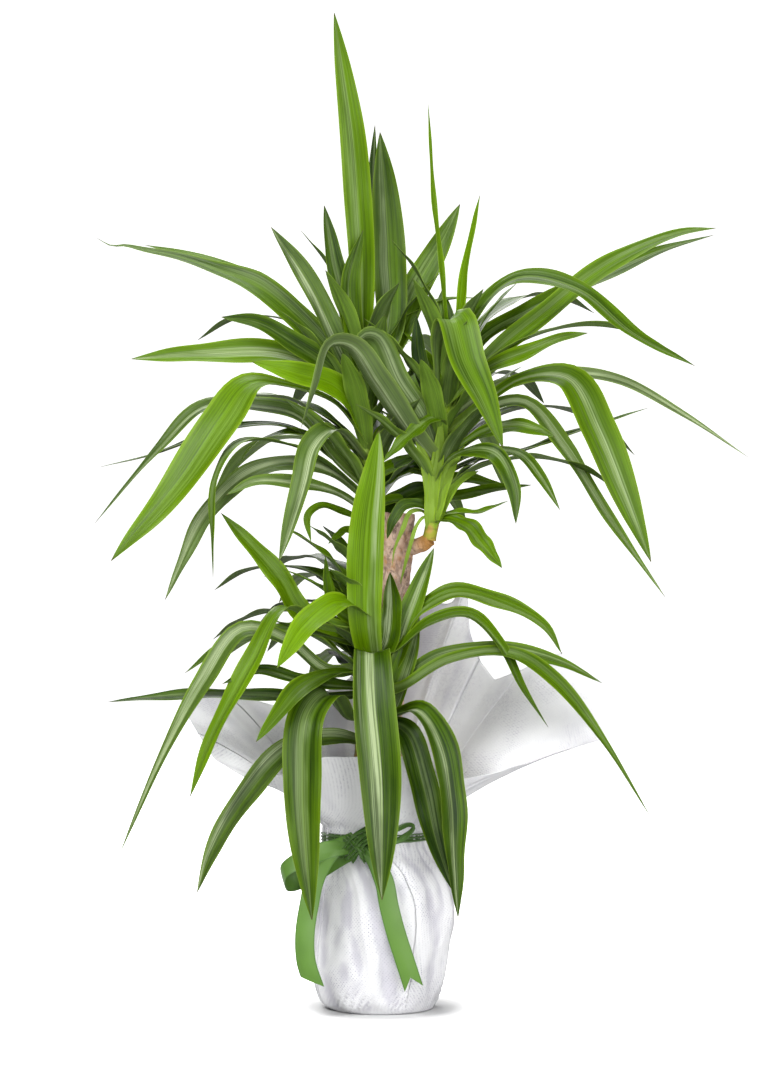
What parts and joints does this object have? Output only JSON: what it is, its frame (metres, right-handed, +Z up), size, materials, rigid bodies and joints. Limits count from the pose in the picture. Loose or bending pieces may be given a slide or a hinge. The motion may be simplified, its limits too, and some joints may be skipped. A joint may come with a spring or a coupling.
{
  "type": "potted yucca",
  "caption": "Yucca with two bark-covered canes and arching sword-shaped leaves in a nursery pot, wrapped in a white floral sheet tied with a green ribbon.",
  "frame": {"origin": "middle of the flat underside of the wrapped pot", "axes": "+Z up, -Y towards the viewer of the front, +X to the viewer's right"},
  "size_m": [0.6584, 0.3928, 0.9937],
  "materials": {
    "sheet": "matte",
    "ribbon": "satin",
    "pot": "satin",
    "soil": "matte",
    "bark": "matte",
    "leaf": "satin"
  },
  "bodies": {
    "root": {"wrap_sheet": "sheet", "ribbon": "ribbon", "nursery_pot": "pot", "potting_soil": "soil", "tall_cane": "bark", "short_cane": "bark", "upper_left_head": "leaf", "upper_right_head": "leaf", "lower_head": "leaf"}
  },
  "joints": []
}
